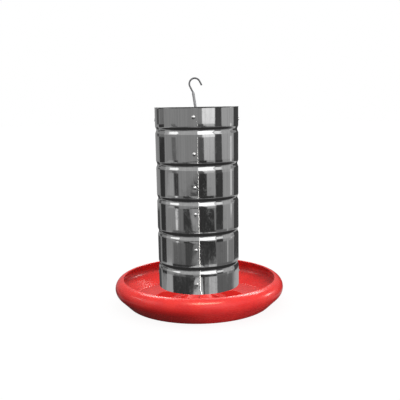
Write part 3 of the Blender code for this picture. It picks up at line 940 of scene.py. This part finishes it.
def build_floor():
    """A plain pale floor that photographs white, and throws less light back at the pan's left."""
    bm = bmesh.new()
    bmesh.ops.create_grid(bm, x_segments=1, y_segments=1, size=15)
    mesh = bpy.data.meshes.new("floor")
    bm.to_mesh(mesh)
    bm.free()
    floor = bpy.data.objects.new("floor", mesh)
    bpy.context.scene.collection.objects.link(floor)
    material, tree, shader = new_material("floor")
    tree.nodes.remove(shader)
    place = node(tree, "ShaderNodeTexCoord").outputs["Object"]
    across = node(tree, "ShaderNodeSeparateXYZ", {0: place}).outputs["X"]
    shade = spread(tree, across, -0.03, 0.03, 0.22, 1.0)
    bounce = node(tree, "ShaderNodeBsdfDiffuse", {"Color": shade})
    paper = node(tree, "ShaderNodeBsdfDiffuse", {"Color": (0.12, 0.12, 0.12, 1)})
    glow = node(tree, "ShaderNodeEmission", {"Color": (1, 1, 1, 1), "Strength": 0.92})
    bright = node(tree, "ShaderNodeAddShader", {0: paper.outputs[0], 1: glow.outputs[0]})
    path = node(tree, "ShaderNodeLightPath").outputs
    inputs = {0: path["Is Camera Ray"], 1: bounce.outputs[0], 2: bright.outputs[0]}
    mixed = node(tree, "ShaderNodeMixShader", inputs)
    tree.links.new(mixed.outputs[0], tree.nodes["Material Output"].inputs["Surface"])
    mesh.materials.append(material)
    floor.visible_glossy = False


def build_lamp(name, azimuth, elevation, power, size, colour, target, receivers, gloss=True, diffuse=True):
    """A soft box in a compass direction from a target, which lights one group of pieces."""
    data = bpy.data.lights.new(name, "AREA")
    data.shape = "RECTANGLE"
    data.size, data.size_y = size
    data.energy = power
    data.color = colour
    lamp = bpy.data.objects.new(name, data)
    a = math.radians(azimuth)
    e = math.radians(elevation)
    away = Vector((math.sin(a) * math.cos(e), -math.cos(a) * math.cos(e), math.sin(e)))
    lamp.location = target + away * 2.5
    lamp.rotation_euler = away.to_track_quat("Z", "Y").to_euler()
    bpy.context.scene.collection.objects.link(lamp)
    lamp.light_linking.receiver_collection = receivers
    lamp.light_linking.blocker_collection = receivers
    lamp.visible_diffuse = diffuse
    lamp.visible_glossy = gloss


def build_lamps(pan_group, rivet_group, seam_group):
    """Soft boxes for the pan, the rivets and the seam's edge. Each lights only its own group."""
    warm = (1.0, 0.76, 0.56)
    white = (1.0, 0.97, 0.93)
    pan = Vector((0, 0, 0.04))
    tube = Vector((0, 0, 0.25))
    build_lamp("pan_key", 12, 60, 42, (1.1, 0.5), warm, pan, pan_group)
    build_lamp("pan_top", 0, 78, 10, (1.2, 1.2), warm, pan, pan_group, gloss=False)
    build_lamp("pan_low_right", 40, -14, 9, (0.8, 0.4), white, pan, pan_group, gloss=False)
    build_lamp("pan_back_left", -155, 50, 18, (0.9, 0.35), white, pan, pan_group, diffuse=False)
    build_lamp("pan_back_right", 150, 47, 24, (1.4, 0.3), white, pan, pan_group, diffuse=False)
    build_lamp("pan_right", 105, 16, 8, (0.3, 0.3), white, pan, pan_group, diffuse=False)
    build_lamp("pan_left", -92, 27, 2, (0.3, 0.3), white, pan, pan_group, diffuse=False)
    build_lamp("rivet_key", 6, 36, 26, (1.3, 0.8), white, tube, rivet_group)
    build_lamp("seam_low", 35, -9, 28, (0.6, 1.0), white, tube, seam_group)


def group(name, pieces):
    """A collection that the lamps' light linking can name."""
    made = bpy.data.collections.new(name)
    for piece in pieces:
        made.objects.link(piece)
    return made


# ---------------------------------------------------------------- the scene

build_camera()
sheet_metal = galvanised_sheet()
plastic = red_plastic()
rod_steel = hanger_steel(TUBE_FOOT + TUBE_HEIGHT + NECK_ABOVE_RIM)
rivet_steel = plain_metal("rivet_steel", (0.70, 0.70, 0.70), (0.82, 0.82, 0.82), 0.2, 0.34, (300, 300, 300))
bar_steel = plain_metal("bar_steel", (0.42, 0.43, 0.44), (0.55, 0.56, 0.57), 0.3, 0.5, (10, 320, 320))
zinc = plain_metal("zinc_fastener", (0.56, 0.57, 0.6), (0.68, 0.69, 0.71), 0.22, 0.38, (350, 350, 350))

hopper_sheet = build_hopper_sheet(sheet_metal)
# The hopper casts no shadow on the pan around its foot, as in the photograph.
hopper_sheet.visible_diffuse = False
hopper_sheet.visible_shadow = False
seam_edge = build_burr(sheet_metal)
rivets = build_rivets(rivet_steel)
build_pan(plastic)
build_rod(rod_steel)
build_pin(zinc)
dress_cad_nodes(bar_steel, zinc)

on_base = [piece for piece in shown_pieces() if body_of(piece) == ["feeder_base"]]
pan_piece = [piece for piece in on_base if piece.name == "pan_moulding"]
pan_piece[0].visible_glossy = False
build_world()
build_floor()
build_lamps(group("pan_lit", pan_piece), group("rivets_lit", rivets), group("seam_lit", [seam_edge]))
bpy.context.scene.view_settings.view_transform = "Standard"
